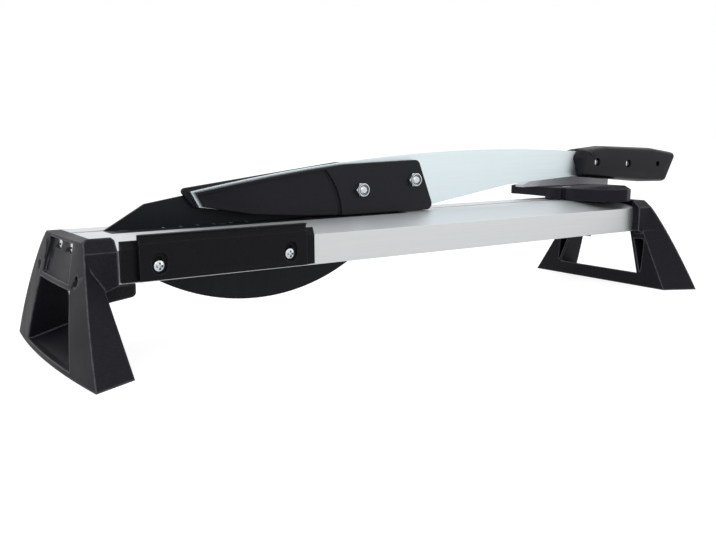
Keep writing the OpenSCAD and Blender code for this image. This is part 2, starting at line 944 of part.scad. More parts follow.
module front_plate() {
    low = plate_top - plate_height;
    lip = 1.2;
    color("#232425")
        in_frame()
            difference() {
                lengthwise(plate_left, plate_length)
                    polygon([
                        [plate_back, low], [plate_back, plate_top], [plate_front, plate_top],
                        [plate_front, plate_top - lip], [plate_front + band_depth, plate_top - lip],
                        [plate_front + band_depth, plate_top - band_height],
                        [plate_front, plate_top - band_height], [plate_front, low]
                    ]);
                for (x = plate_screw_x) {
                    plate_slot(x, plate_front - over, plate_front + pocket_depth, pocket_r);
                    plate_slot(x, plate_front, plate_back + over, plate_screw_d / 2 + slide_gap);
                }
            }
}

// Two Phillips screws that clamp the front plate
module plate_screws() {
    seat = plate_front + pocket_depth - slide_gap;
    color("#d9dcdf")
        in_frame()
            for (x = plate_screw_x) {
                cross_rod(x, plate_screw_z, seat, front_face + table_wall + over, plate_screw_d / 2);
                translate([x, seat, plate_screw_z])
                    rotate([90, 0, 0])
                        pan_head(plate_head_r, plate_head_h);
            }
}

// Disc whose rim is the lever's long top edge
module crest_disc(inset) {
    translate([crest_x, crest_z - lever_radius])
        circle(r = lever_radius - inset, $fn = lever_fn);
}

// Holes for the blade bolts through the lever's stack
module bolt_holes() {
    for (i = [0, 1])
        cross_rod(bolt_x[i], bolt_z[i], pad_front - over, blade_back + over, bolt_r + thread_fit);
}

// Dark steel blade, ground to a bevel along its round lower edge
module blade() {
    wing_end = wing_x - 2 * half_chord;
    wing_low = wing_z - 2 * half_chord * tan(wing_slope);
    lug_low = rest_z + 5;
    lug_left = pad_left;
    lug_right = bolt_x[1] + 2.3 * bolt_d;
    lug_ease = 2.75 * bolt_d;
    color("#2b2d31")
        in_frame()
            difference() {
                union() {
                    intersection() {
                        translate([edge_x, blade_front, edge_z])
                            rotate([-90, 0, 0])
                                cylinder(r1 = edge_radius, r2 = edge_radius - edge_bevel, h = blade_thick,
                                    $fn = wide_fn);
                        upright(blade_front, blade_thick)
                            polygon([
                                [wing_end, wing_low], [wing_x, wing_z], [heel_x, heel_z - 3],
                                [pad_left, bolt_z[0] + 1.75 * bolt_d], [lug_right - lug_ease, bolt_z[1] + 1.5 * bolt_d],
                                [lug_right - lug_ease, table_bottom - edge_depth], [wing_end, table_bottom - edge_depth]
                            ]);
                    }
                    upright(blade_front, blade_thick)
                        polygon([
                            [lug_left, lug_low], [lug_right, lug_low],
                            [lug_right - bolt_d, bolt_z[1] + 1.5 * bolt_d], [lug_left, bolt_z[0] + 1.75 * bolt_d]
                        ]);
                }
                bolt_holes();
                cross_rod(pivot_x, pivot_z, cut_plane, groove_rear, pivot_d / 2 + pivot_fit);
            }
}

// Pale flat steel arm with a long round top edge
module lever_arm() {
    tang_tip = handle_tip - tip_slant - tang_margin;
    color("#dfe9ec")
        in_frame()
            difference() {
                upright(lever_front, lever_thick) {
                    intersection() {
                        crest_disc(0);
                        polygon([
                            [heel_x, heel_z + crest_rise], [heel_x, heel_z - 1], [heel_x + heel_cut, heel_z - heel_height],
                            [pad_left - 0.28 * bolt_reach, rest_z + 4], [pad_left, rest_z + 2],
                            [pad_right - guard_corner, rest_z + 2], [toe_x, toe_z], [knee_x, knee_z],
                            [handle_root, neck_z], [handle_root + tip_slant, neck_z],
                            [handle_root + tip_slant, root_top - tang_margin], [handle_root, crest_z + tang_margin]
                        ]);
                    }
                    polygon([
                        [handle_root, neck_z], [tang_tip, tip_low + handle_round], [tang_tip, tip_top - tang_margin],
                        [handle_root + tip_slant, root_top - tang_margin], [handle_root, root_top - 2 * tip_slant]
                    ]);
                }
                bolt_holes();
                for (i = [0, 1])
                    cross_rod(handle_screw_x[i], handle_screw_z[i], lever_front - over, lever_back + over,
                        handle_screw_d / 2 + thread_fit);
                cross_rod(hang_hole_x, hang_hole_z, lever_front - over, lever_back + over, hang_hole_d / 2);
            }
}

// Outline of the front guard, below the lever's bare top edge
module guard_outline() {
    panel_left = heel_x + heel_reveal;
    low_z = rest_z + pad_lift;
    intersection() {
        crest_disc(guard_reveal);
        union() {
            polygon([
                [panel_left, crest_z], [panel_left, heel_z - 1], [panel_left + heel_cut, heel_z - heel_height + 0.5],
                [pad_left - 0.42 * bolt_reach, low_z + 6], [pad_left - 0.2 * bolt_reach, low_z + 2], [pad_left, low_z], [pad_left, crest_z]
            ]);
            hull() {
                translate([pad_left - guard_corner, low_z])
                    square([guard_corner, heel_z + 3.2 * guard_corner - low_z]);
                translate([pad_right - 3.5 * guard_corner, bolt_z[1] + 2.2 * guard_corner])
                    circle(r = guard_corner, $fn = hull_fn);
                translate([pad_right - guard_corner, low_z + guard_corner])
                    circle(r = guard_corner, $fn = hull_fn);
            }
        }
    }
}

// Front half of the guard: a sunk panel under a rim, and a pad that carries the nuts
module guard_front() {
    color("#2e2e31")
        in_frame()
            difference() {
                upright(pad_front, pad_thick)
                    guard_outline();
                upright(pad_front - over, pad_thick - panel_thick + over)
                    intersection() {
                        crest_disc(guard_reveal + panel_rim);
                        union() {
                            translate([pad_left - panel_round, table_top])
                                circle(r = panel_round);
                            translate([heel_x, table_top])
                                square([pad_left - panel_round - heel_x, crest_rise]);
                        }
                    }
                bolt_holes();
            }
}

// Rear half of the guard, which stands above the lever's edge at its left and meets it further right
module guard_rear() {
    corner = guard_corner / 2;
    lip_x = heel_x - 6.4;
    top_shift = rear_guard_rise * lever_radius / rear_guard_run;
    top_lift = ((crest_x - heel_x) * top_shift - pow(top_shift, 2) / 2) / lever_radius;
    color("#2e2e31")
        in_frame()
            difference() {
                upright(lever_back, rear_guard_thick)
                    intersection() {
                        translate([-top_shift, rear_guard_rise - top_lift])
                            crest_disc(0);
                        hull() {
                            translate([lip_x + corner, heel_z])
                                circle(r = corner, $fn = hull_fn);
                            translate([heel_x + heel_cut - 1.5, heel_z - heel_height + corner])
                                circle(r = corner, $fn = hull_fn);
                            translate([pad_left, bolt_z[1] + 2.6 * guard_corner])
                                circle(r = corner, $fn = hull_fn);
                            translate([pad_right - 3.5 * guard_corner, bolt_z[1] + 2 * guard_corner])
                                circle(r = guard_corner, $fn = hull_fn);
                            translate([pad_right - guard_corner, rest_z + pad_lift + guard_corner])
                                circle(r = guard_corner, $fn = hull_fn);
                            translate([pad_left - 10, rest_z + pad_lift + guard_corner])
                                circle(r = guard_corner, $fn = hull_fn);
                        }
                    }
                bolt_holes();
            }
}

// Hexagon bolts put in from behind, their ends just past the nuts
module blade_bolts() {
    color("#d9dcdf")
        in_frame()
            for (i = [0, 1]) {
                tip = pad_front - nut_height - collar_height / 3;
                cross_rod(bolt_x[i], bolt_z[i], tip + collar_height, blade_back + washer_thick + head_height / 2, bolt_r);
                translate([bolt_x[i], tip + collar_height, bolt_z[i]])
                    rotate([90, 0, 0])
                        cylinder(r1 = bolt_r, r2 = bolt_r * 0.68, h = collar_height);
                translate([bolt_x[i], blade_back + washer_thick, bolt_z[i]])
                    rotate([-90, 0, 0])
                        hex_block(nut_r, head_height);
            }
}

module bolt_washers() {
    color("#c9ccd0")
        in_frame()
            for (i = [0, 1])
                difference() {
                    cross_rod(bolt_x[i], bolt_z[i], blade_back, blade_back + washer_thick, bolt_d);
                    cross_rod(bolt_x[i], bolt_z[i], blade_back - over, blade_back + washer_thick + over,
                        bolt_r + thread_fit);
                }
}

// Self-locking nuts with a round collar, sunk round the bolt
module lock_nuts() {
    color("#d9dcdf")
        in_frame()
            for (i = [0, 1])
                translate([bolt_x[i], pad_front, bolt_z[i]])
                    rotate([90, 0, 0])
                        difference() {
                            union() {
                                hex_block(nut_r, nut_height - collar_height);
                                cylinder(r = nut_r * 0.84, h = nut_height);
                            }
                            translate([0, 0, -over])
                                cylinder(r = bolt_r + thread_fit, h = nut_height + 2 * over);
                            translate([0, 0, nut_height - collar_height])
                                cylinder(r = nut_r * 0.73, h = nut_height);
                        }
}

// Outline of the handle, drawn in by an inset, with its root drawn back by a shift
module handle_outline(inset, root_shift) {
    root = handle_root + handle_round;
    for (place = [
        [root + root_shift, root_top - 11.5],
        [root + 4 + 0.6 * root_shift, root_top - 7],
        [root + 14, root_top - handle_round],
        [root + 7 - 0.6 * root_shift, root_low + handle_round],
        [root + 0.71 * handle_pitch, root_top + 2 - handle_round],
        [handle_tip - 0.81 * handle_pitch, root_top - 1.2 - handle_round],
        [handle_tip - 1.06 * handle_pitch, tip_low + 1.1 + handle_round],
        [handle_tip - handle_round, tip_top - handle_round],
        [handle_tip - tip_slant - handle_round, tip_low + handle_round]
    ])
        translate(place)
            circle(r = handle_round - inset, $fn = hull_fn);
}

// One handle scale between its mating plane and its outer face
module handle_scale(mating, out, root_draw) {
    skin = 0.5;
    layers = [[0, 0, 0], [0.5, 0.3, 0.4], [0.75, 1.2, 0.7], [0.9, 2.6, 0.9], [1, 5, 1]];
    difference() {
        hull()
            for (layer = layers)
                upright(mating + out * layer[0] * (scale_thick - skin) - (out < 0 ? skin : 0), skin)
                    handle_outline(layer[1], layer[2] * root_draw);
        cross_rod(hang_hole_x, hang_hole_z, mating - 2 * scale_thick, mating + 2 * scale_thick, hang_hole_d / 2);
        children();
    }
}

handle_head_r = handle_screw_d * 0.85;
handle_head_h = handle_screw_d * 0.45;
handle_sink = 4;
sleeve_r = handle_screw_d * 0.75;
sleeve_back = lever_back + 2;

module handle_front() {
    color("#2b2b2d")
        in_frame()
            handle_scale(lever_front, -1, 8)
                for (i = [0, 1]) {
                    cross_rod(handle_screw_x[i], handle_screw_z[i], lever_front - 2 * scale_thick,
                        lever_front + over, handle_screw_d / 2 + thread_fit);
                    cross_rod(handle_screw_x[i], handle_screw_z[i], lever_front - 2 * scale_thick,
                        lever_front - scale_thick + handle_sink, handle_head_r + slide_gap);
                }
}

module handle_rear() {
    color("#2b2b2d")
        in_frame()
            handle_scale(lever_back, 1, -5)
                for (i = [0, 1]) {
                    cross_rod(handle_screw_x[i], handle_screw_z[i], lever_back - over,
                        lever_back + 2 * scale_thick, sleeve_r + thread_fit);
                    cross_rod(handle_screw_x[i], handle_screw_z[i], lever_back + scale_thick - handle_sink,
                        lever_back + 2 * scale_thick, handle_head_r * 1.1 + slide_gap);
                }
}

module handle_screws() {
    seat = lever_front - scale_thick + handle_sink;
    color("#d9dcdf")
        in_frame()
            for (i = [0, 1]) {
                cross_rod(handle_screw_x[i], handle_screw_z[i], seat, lever_back + scale_thick / 2,
                    handle_screw_d / 2);
                translate([handle_screw_x[i], seat, handle_screw_z[i]])
                    rotate([90, 0, 0])
                        pan_head(handle_head_r, handle_head_h);
            }
}

// Sleeve nuts sunk in the rear scale
module handle_nuts() {
    seat = lever_back + scale_thick - handle_sink;
    color("#d9dcdf")
        in_frame()
            for (i = [0, 1])
                difference() {
                    union() {
                        cross_rod(handle_screw_x[i], handle_screw_z[i], sleeve_back, seat, sleeve_r);
                        cross_rod(handle_screw_x[i], handle_screw_z[i], seat, seat + handle_head_h,
                            handle_head_r * 1.1);
                    }
                    cross_rod(handle_screw_x[i], handle_screw_z[i], sleeve_back - over,
                        lever_back + scale_thick / 2 + slide_gap, handle_screw_d / 2 + thread_fit);
                }
}

// Places a piece of the angle stop, drawn about its swivel
module at_stop(z) {
    in_frame()
        translate([stop_x, groove_middle, z])
            children();
}

// Clamp screw with a flush head, down through the groove
module stop_screw() {
    tip = under_table - washer_thick - knob_height;
    color("#c9ccd0")
        at_stop(0) {
            translate([0, 0, tip])
                cylinder(r = clamp_r, h = stop_top - tip - clamp_head_h);
            translate([0, 0, stop_top - clamp_head_h])
                cylinder(r = clamp_head_r, h = clamp_head_h);
        }
}

module stop_washer() {
    color("#c9ccd0")
        at_stop(under_table - washer_thick)
            difference() {
                cylinder(r = clamp_head_r * 1.6, h = washer_thick);
                translate([0, 0, -over])
                    cylinder(r = clamp_r + thread_fit, h = washer_thick + 2 * over);
            }
}

// Swivelling body: a round hub, a faceted front block, and a raised plate with a wing and an arm to the rear
module stop_body() {
    arm_half = stop_arm_width / 2;
    arm_slant = 22;
    block_left = -stop_hub + 3;
    block_right = stop_hub + 2.2;
    notch_depth = 4;
    notch_width = 7;
    color("#2a2830")
        at_stop(0)
            difference() {
                union() {
                    translate([0, 0, stop_base])
                        cylinder(r = stop_hub, h = stop_height);
                    translate([0, 0, stop_base])
                        linear_extrude(stop_height)
                            polygon([
                                [block_left, 0], [block_left + 1, -stop_front * 0.4],
                                [block_left + 11, -stop_front * 0.75], [block_left + 24, -stop_front * 0.93],
                                [block_right - 11, -stop_front], [block_right, -stop_front * 0.95], [block_right, 0]
                            ]);
                    translate([0, 0, stop_base + arm_lift])
                        linear_extrude(stop_height - arm_lift)
                            polygon([
                                [0, -stop_front * 0.6], [block_right, -stop_front * 0.95],
                                [wing_reach, -stop_front * 0.36], [wing_reach, 0],
                                [wing_reach - arm_slant / 2, stop_hub - 2], [arm_right, stop_hub - 2],
                                [arm_right, stop_arm], [-arm_half - 2 * bar_drop, stop_arm - arm_slant],
                                [arm_side - arm_half, 0]
                            ]);
                }
                translate([0, 0, stop_base - over])
                    cylinder(r = clamp_r + pivot_fit, h = stop_height + 2 * over);
                translate([0, 0, stop_top - clamp_head_h - pivot_fit])
                    cylinder(r = clamp_head_r + pivot_fit, h = stop_height);
                translate([-stop_hub - over, -stop_hub * 0.75, stop_base - over])
                    cube([stop_hub + block_left + notch_depth + over, notch_width, stop_height + 2 * over]);
                bar_places()
                    translate([0, 0, -bar_screw_length])
                        cylinder(r = small_screw_d / 2 + thread_fit, h = bar_screw_length);
            }
}

bar_screw_length = bar_height + (stop_height - arm_lift) / 2;

// Places of the grey bar's screws on the arm, at the bar's top with the thread along -Z
module bar_places() {
    for (side = [-1, 1])
        translate([arm_side + side * stop_arm_width / 4, bar_y, stop_top + bar_height])
            children();
}

// Grey bar across the stop's arm, cut down at its left so that it swings clear under the lever
module stop_bar() {
    color("#8f8d93")
        at_stop(0)
            difference() {
                upright(bar_y - bar_width / 2, bar_width)
                    polygon([
                        [bar_left, stop_top], [arm_right + slide_gap, stop_top],
                        [arm_right + slide_gap, stop_top - bar_drop], [bar_left + bar_length, stop_top - bar_drop],
                        [bar_left + bar_length, stop_top + bar_height], [-bar_ease, stop_top + bar_height],
                        [bar_left, stop_top + bar_height / 4]
                    ]);
                bar_places()
                    flat_screw_room(small_screw_d, bar_screw_length);
            }
}

module bar_screws() {
    color("#55575b")
        at_stop(0)
            bar_places()
                flat_screw(small_screw_d, bar_screw_length);
}

// Lobed knob on the clamp screw, under the table
module clamp_knob() {
    lobes = 6;
    lobe_r = knob_d * 0.14;
    top = under_table - washer_thick;
    color("#242527")
        at_stop(top - knob_height)
            difference() {
                union() {
                    cylinder(r = knob_d / 2 - lobe_r, h = knob_height);
                    for (i = [0:lobes - 1])
                        rotate([0, 0, i * 360 / lobes])
                            translate([knob_d / 2 - lobe_r, 0, 0])
                                cylinder(r = lobe_r, h = knob_height);
                }
                translate([0, 0, -over])
                    cylinder(r = clamp_r + pivot_fit, h = knob_height + 2 * over);
            }
}

left_foot();
right_foot();
table();
foot_screws();
counter_blade();
counter_screws();
pivot_pin();
pivot_clip();
pivot_spacer();
backing_plate();
backing_screws();
plate_screws();
front_plate();
blade();
lever_arm();
guard_front();
guard_rear();
blade_bolts();
bolt_washers();
lock_nuts();
handle_front();
handle_rear();
handle_screws();
handle_nuts();
stop_screw();
stop_washer();
stop_body();
stop_bar();
bar_screws();
clamp_knob();
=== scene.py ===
import bpy
import bmesh
import json
import math
import numpy as np
from mathutils import Matrix, Vector


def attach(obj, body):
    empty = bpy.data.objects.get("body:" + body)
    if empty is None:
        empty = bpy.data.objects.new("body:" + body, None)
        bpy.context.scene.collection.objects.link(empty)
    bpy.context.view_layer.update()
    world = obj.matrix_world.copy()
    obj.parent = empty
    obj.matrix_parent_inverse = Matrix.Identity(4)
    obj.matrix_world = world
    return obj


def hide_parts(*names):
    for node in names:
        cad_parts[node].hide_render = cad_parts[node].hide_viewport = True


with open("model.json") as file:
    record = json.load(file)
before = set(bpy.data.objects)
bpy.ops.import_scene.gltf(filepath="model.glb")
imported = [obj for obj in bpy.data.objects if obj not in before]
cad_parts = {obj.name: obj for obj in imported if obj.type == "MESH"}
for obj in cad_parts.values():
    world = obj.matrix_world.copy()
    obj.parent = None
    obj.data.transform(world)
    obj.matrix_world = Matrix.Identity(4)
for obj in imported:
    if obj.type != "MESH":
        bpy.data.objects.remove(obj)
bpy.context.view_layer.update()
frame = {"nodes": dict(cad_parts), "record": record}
nodes = frame["nodes"]
frameShift = -47.25  # mm added to an X measured from the middle of the table, to give the part's own X
print("frame loaded,", len(nodes), "nodes")


# camera: where the picture was taken from, worked back from the table's straight edges;
# place and far clip in metres, turns in degrees, lens and sensor in mm
cameraFacts = {
    "place": (-0.53515, -0.6624, 0.1728), "yaw": 33.90, "pitch": -9.277, "roll": -0.306,
    "lens": 42.43, "sensor": 36, "farClip": 50,
}
yaw, pitch, roll = (math.radians(cameraFacts[k]) for k in ("yaw", "pitch", "roll"))
ahead = Vector((math.sin(yaw) * math.cos(pitch), math.cos(yaw) * math.cos(pitch), math.sin(pitch)))
level = Vector((math.cos(yaw), -math.sin(yaw), 0))
above = level.cross(ahead)
right = math.cos(roll) * level + math.sin(roll) * above
up = math.cos(roll) * above - math.sin(roll) * level
cameraData = bpy.data.cameras.new("camera")
cameraData.sensor_fit = "HORIZONTAL"
cameraData.sensor_width = cameraFacts["sensor"]
cameraData.lens = cameraFacts["lens"]
cameraData.clip_end = cameraFacts["farClip"]
camera = bpy.data.objects.new("camera", cameraData)
turned = Matrix((right, up, -ahead)).transposed().to_4x4()
camera.matrix_world = Matrix.Translation(cameraFacts["place"]) @ turned
bpy.context.scene.collection.objects.link(camera)
bpy.context.scene.camera = camera
print("camera set")


# colours are written as sRGB hex and turned to linear light, channel by channel
def linear(code):
    srgb = np.array([int(code[i:i + 2], 16) for i in (0, 2, 4)]) / 255
    light = np.where(srgb <= 0.04045, srgb / 12.92, ((srgb + 0.055) / 1.055) ** 2.4)
    return (*light.tolist(), 1.0)


# one shader node: its own settings, the values typed in its sockets, and the sockets that feed it
def add(tree, kind, settings={}, values={}, links={}):
    made = tree.nodes.new("ShaderNode" + kind)
    for name, value in settings.items():
        setattr(made, name, value)
    for socket, value in values.items():
        made.inputs[socket].default_value = value
    for socket, source in links.items():
        tree.links.new(source, made.inputs[socket])
    return made


def blank(name):
    material = bpy.data.materials.new(name)
    material.use_nodes = True
    material.node_tree.nodes.clear()
    return material, material.node_tree


colourMix = {"data_type": "RGBA"}
usualNoise = {"From Min": 0.3, "From Max": 0.7}  # where most of a noise pattern's values lie
calmNoise = {"From Min": 0.35, "From Max": 0.65}  # the same for two patterns averaged
rimTurn = {"From Min": 0.995, "From Max": 0.86, "To Min": 0}  # cosines at which the edge wear and painted edge highlight start and are full


# Worn and highlit edges: the normal is rounded within edge mm of a corner, and a paler tint grows with the angle
# between it and the face's own normal, standing for rubbed wear and a painted edge highlight. Gives the rounded
# normal, the face's normal and the wear and highlight mask.
def edgeWearAndHighlight(tree, edge, most):
    soft = add(tree, "Bevel", {"samples": 6}, {"Radius": edge / 1000})
    flat = add(tree, "NewGeometry")
    turn = add(tree, "VectorMath", {"operation": "DOT_PRODUCT"}, {},
               {0: soft.outputs["Normal"], 1: flat.outputs["Normal"]})
    rimWearAndHighlight = add(tree, "MapRange", {}, {**rimTurn, "To Max": most}, {"Value": turn.outputs["Value"]})
    return soft.outputs["Normal"], flat.outputs["Normal"], rimWearAndHighlight.outputs["Result"]


plasticFacts = {"flowPitch": 45, "scuffPitch": 6, "speck": 0.03, "bump": 0.35, "ior": 1.5}  # pitches in mm


# Moulded plastic: the spark-eroded mould leaves a fine pebble that scatters the light, flow marks make the sheen
# drift over some centimetres, and the edges are made paler, partly as handling polish and partly as a painted
# highlight.
# The real pebble is about 0.3 mm, too fine for the render, so it is drawn at grain mm.
def mouldedPlastic(name, colour, wornAndHighlight, rough, grain, depth, edge=0.8, gloss=0.2, drift=0.05, wearAndHighlight=0.7):
    material, tree = blank(name)
    coords = add(tree, "TexCoord").outputs["Object"]
    pebble = add(tree, "TexNoise", {}, {"Scale": 1000 / grain, "Detail": 3, "Roughness": 0.6},
                 {"Vector": coords})
    flow = add(tree, "TexNoise", {}, {"Scale": 1000 / plasticFacts["flowPitch"], "Detail": 2},
               {"Vector": coords})
    scuff = add(tree, "TexNoise", {},
                {"Scale": 1000 / plasticFacts["scuffPitch"], "Detail": 5, "Roughness": 0.7},
                {"Vector": coords})
    softNormal, faceNormal, rimWearAndHighlight = edgeWearAndHighlight(tree, edge, wearAndHighlight)
    # edges tinted paler: rubbed wear and a painted highlight
    rubAndHighlight = add(tree, "Math", {"operation": "MULTIPLY"}, {}, {0: rimWearAndHighlight, 1: scuff.outputs["Fac"]})
    speck = add(tree, "MapRange", {}, {**usualNoise, "To Min": 0, "To Max": plasticFacts["speck"]},
                {"Value": pebble.outputs["Fac"]})
    pale = add(tree, "Math", {"operation": "ADD", "use_clamp": True}, {},
               {0: rubAndHighlight.outputs["Value"], 1: speck.outputs["Result"]})
    tint = add(tree, "Mix", colourMix, {"A": linear(colour), "B": linear(wornAndHighlight)},
               {"Factor": pale.outputs["Value"]})
    sheen = add(tree, "MapRange", {}, {**usualNoise, "To Min": rough - drift, "To Max": rough + drift},
                {"Value": flow.outputs["Fac"]})
    bump = add(tree, "Bump", {}, {"Strength": plasticFacts["bump"], "Distance": depth / 1000},
               {"Height": pebble.outputs["Fac"], "Normal": softNormal})
    surface = add(tree, "BsdfPrincipled", {}, {"IOR": plasticFacts["ior"], "Specular IOR Level": gloss},
                  {"Base Color": tint.outputs["Result"], "Roughness": sheen.outputs["Result"],
                   "Normal": bump.outputs["Normal"]})
    add(tree, "OutputMaterial", {}, {}, {"Surface": surface.outputs["BSDF"]})
    return material


# cloud pitch and the reach of the painted recess shade in mm; a wave texture of this scale has a band every 2 pi / 20
# / 31.25 m, or 10 mm
metalFacts = {"cloudPitch": 70, "rubbed": 0.6, "bump": 0.3, "bandScale": 31.25, "bandLow": 0.9, "recessShadeReach": 1.8}


# Worked metal: fine lines run the way the piece was drawn, rolled or ground, so the shine streaks that way.
# along holds the pitch of the pattern in mm in X, Y and Z: long in the working direction, short across it.
# The colour for faces that look up is painted shade, laid on in soft bands along X.
# The colour where walls stand close together, as in a screw's recess, is painted shade laid by occlusion.
def workedMetal(name, colour, deep, rough, along, depth, edge=0.3, spread=0.08, metallic=1.0, wearAndHighlight="f2f4f4",
                topShade=None, gloss=0.5, recessShade=None):
    material, tree = blank(name)
    coords = add(tree, "TexCoord").outputs["Object"]
    stretch = add(tree, "Mapping", {"vector_type": "POINT"}, {"Scale": tuple(1000 / a for a in along)},
                  {"Vector": coords})
    lines = add(tree, "TexNoise", {}, {"Scale": 1, "Detail": 4, "Roughness": 0.65},
                {"Vector": stretch.outputs["Vector"]})
    cloud = add(tree, "TexNoise", {}, {"Scale": 1000 / metalFacts["cloudPitch"], "Detail": 2},
                {"Vector": coords})
    softNormal, faceNormal, rimWearAndHighlight = edgeWearAndHighlight(tree, edge, metalFacts["rubbed"])
    shade = add(tree, "MapRange", {}, usualNoise, {"Value": lines.outputs["Fac"]})
    tint = add(tree, "Mix", colourMix, {"A": linear(colour), "B": linear(deep)},
               {"Factor": shade.outputs["Result"]})
    # painted shade: faces that look up take a duller tint, in soft bands
    if topShade:
        facing = add(tree, "SeparateXYZ", {}, {}, {"Vector": faceNormal})
        upward = add(tree, "MapRange", {}, {"From Min": 0.5, "From Max": 0.9}, {"Value": facing.outputs["Z"]})
        bands = add(tree, "TexWave", {"wave_type": "BANDS", "bands_direction": "Y"},
                    {"Scale": metalFacts["bandScale"]}, {"Vector": coords})
        banded = add(tree, "MapRange", {}, {"To Min": metalFacts["bandLow"], "To Max": 1},
                     {"Value": bands.outputs["Fac"]})
        topShadeMask = add(tree, "Math", {"operation": "MULTIPLY"}, {},
                   {0: upward.outputs["Result"], 1: banded.outputs["Result"]})
        tint = add(tree, "Mix", colourMix, {"B": linear(topShade)},
                   {"Factor": topShadeMask.outputs["Value"], "A": tint.outputs["Result"]})
    # painted shade: darker where walls stand close and little light reaches, found by occlusion
    if recessShade:
        freely = add(tree, "AmbientOcclusion", {"samples": 12}, {"Distance": metalFacts["recessShadeReach"] / 1000})
        recessShadeMask = add(tree, "MapRange", {}, {"From Min": 0.72, "From Max": 0.5}, {"Value": freely.outputs["AO"]})
        tint = add(tree, "Mix", colourMix, {"B": linear(recessShade)},
                   {"Factor": recessShadeMask.outputs["Result"], "A": tint.outputs["Result"]})
    # edges tinted paler: wear and a painted highlight
    bright = add(tree, "Mix", colourMix, {"B": linear(wearAndHighlight)}, {"Factor": rimWearAndHighlight, "A": tint.outputs["Result"]})
    mixed = add(tree, "Mix", {"data_type": "FLOAT"}, {"Factor": 0.5},
                {"A": lines.outputs["Fac"], "B": cloud.outputs["Fac"]})
    sheen = add(tree, "MapRange", {}, {**calmNoise, "To Min": rough - spread, "To Max": rough + spread},
                {"Value": mixed.outputs["Result"]})
    bump = add(tree, "Bump", {}, {"Strength": metalFacts["bump"], "Distance": depth / 1000},
               {"Height": lines.outputs["Fac"], "Normal": softNormal})
    surface = add(tree, "BsdfPrincipled", {}, {"Metallic": metallic, "Specular IOR Level": gloss},
                  {"Base Color": bright.outputs["Result"], "Roughness": sheen.outputs["Result"],
                   "Normal": bump.outputs["Normal"]})
    add(tree, "OutputMaterial", {}, {}, {"Surface": surface.outputs["BSDF"]})
    return material


finishes = {
    # glass-filled polyamide, moulded: dull blue-black with a fine pebble, edges made paler by rubbing and a painted
    # highlight
    "black_plastic": mouldedPlastic("mouldedPolyamide", "17171d", "96969f", rough=0.46, grain=1.3, depth=0.06,
                                    edge=2.4, gloss=0.11, drift=0.06, wearAndHighlight=0.95),
    # ABS, moulded: smoother, a dark satin
    "guard_plastic": mouldedPlastic("mouldedAbs", "1a1b20", "7c7c84", rough=0.42, grain=1.0, depth=0.02,
                                    edge=1.2, gloss=0.17, drift=0.04, wearAndHighlight=0.6),
    # satin handle plastic: even black with a sheen along its rounds
    "handle_plastic": mouldedPlastic("satinHandlePlastic", "14151a", "6a6a70", rough=0.34, grain=0.9, depth=0.012,
                                     edge=0.9, gloss=0.17, drift=0.04, wearAndHighlight=0.5),
    # smooth ABS plate, darker and flatter than the rest
    "plate_plastic": mouldedPlastic("smoothAbsPlate", "101114", "77797d", rough=0.40, grain=1.4, depth=0.012,
                                    edge=1.2, gloss=0.11, drift=0.04, wearAndHighlight=0.5),
    # polyamide with a finer mould skin: blue-black, sheen on the top
    "stop_plastic": mouldedPlastic("mouldedStopPolyamide", "1a1a23", "74727c", rough=0.46, grain=1.1, depth=0.03,
                                   edge=1.4, gloss=0.13, drift=0.05, wearAndHighlight=0.6),
    # extruded aluminium, etched and anodised: silky grey, faint die lines along X, painted shade in soft bands on the
    # bed's upward faces
    "aluminium": workedMetal("anodisedAluminium", "d9dcdb", "d6d9d9", rough=0.50, along=(90, 1.1, 1.1),
                             depth=0.008, edge=0.4, spread=0.02, topShade="d6d9dc"),
    # zinc-plated sheet steel with a clear blue passivate: very pale, slightly cold
    "lever_steel": workedMetal("bluePassivatedZinc", "dfebee", "dbe7eb", rough=0.42, along=(50, 2.2, 1.8),
                               depth=0.004, edge=0.3, spread=0.02),
    # blackened tool steel, ground across the blade
    "blade_steel": workedMetal("blackenedToolSteel", "1d2025", "181b1f", rough=0.46, along=(1.2, 2.0, 14),
                               depth=0.02, edge=0.2, spread=0.05, metallic=0.2, wearAndHighlight="4d5056", gloss=0.2),
    # bright zinc on small fasteners, with painted shade in the recesses
    "zinc_steel": workedMetal("brightZinc", "e6eaee", "ccd2d9", rough=0.22, along=(2.0, 2.0, 2.0),
                              depth=0.015, edge=0.2, spread=0.06, recessShade="12151b"),
    # plain turned steel: soft rings of shine
    "pin_steel": workedMetal("turnedSteel", "c2c5c9", "b0b4b8", rough=0.30, along=(3, 0.6, 3),
                             depth=0.02, edge=0.25, spread=0.06),
    # black oxide on small screws
    "dark_screws": workedMetal("blackOxideSteel", "4c4e52", "3c3e42", rough=0.38, along=(1.5, 1.5, 1.5),
                               depth=0.02, edge=0.25, spread=0.06, metallic=0.7, wearAndHighlight="8c8f94"),
    # grey polypropylene bar, moulded smooth: painted paler than its own grey, a painted lift so that it shows even in
    # the lever's shade
    "grey_bar": mouldedPlastic("greyPolypropylene", "e0dee6", "eae8ee", rough=0.44, grain=1.2, depth=0.02,
                               edge=0.8, gloss=0.35),
}
slotOf = {s["node"]: s["material_slot"] for s in frame["record"]["subparts"]}
bodyOf = {n: b for b, members in frame["record"]["behaviour"]["bodies"].items() for n in members}
print("materials made,", len(finishes))


def place(name, mesh, body, slot, *stoodFor):
    piece = bpy.data.objects.new(name, mesh)
    bpy.context.scene.collection.objects.link(piece)
    mesh.materials.clear()
    mesh.materials.append(finishes[slot])
    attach(piece, body)
    if stoodFor:
        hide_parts(*stoodFor)
    return piece


# edges sharper than crease degrees are rounded, width in mm
def roundEdges(piece, width, steps, crease):
    bevel = piece.modifiers.new("softEdges", "BEVEL")
    bevel.width = width / 1000
    bevel.segments = steps
    bevel.limit_method = "ANGLE"
    bevel.angle_limit = math.radians(crease)
    bevel.harden_normals = True
    bevel.use_clamp_overlap = False


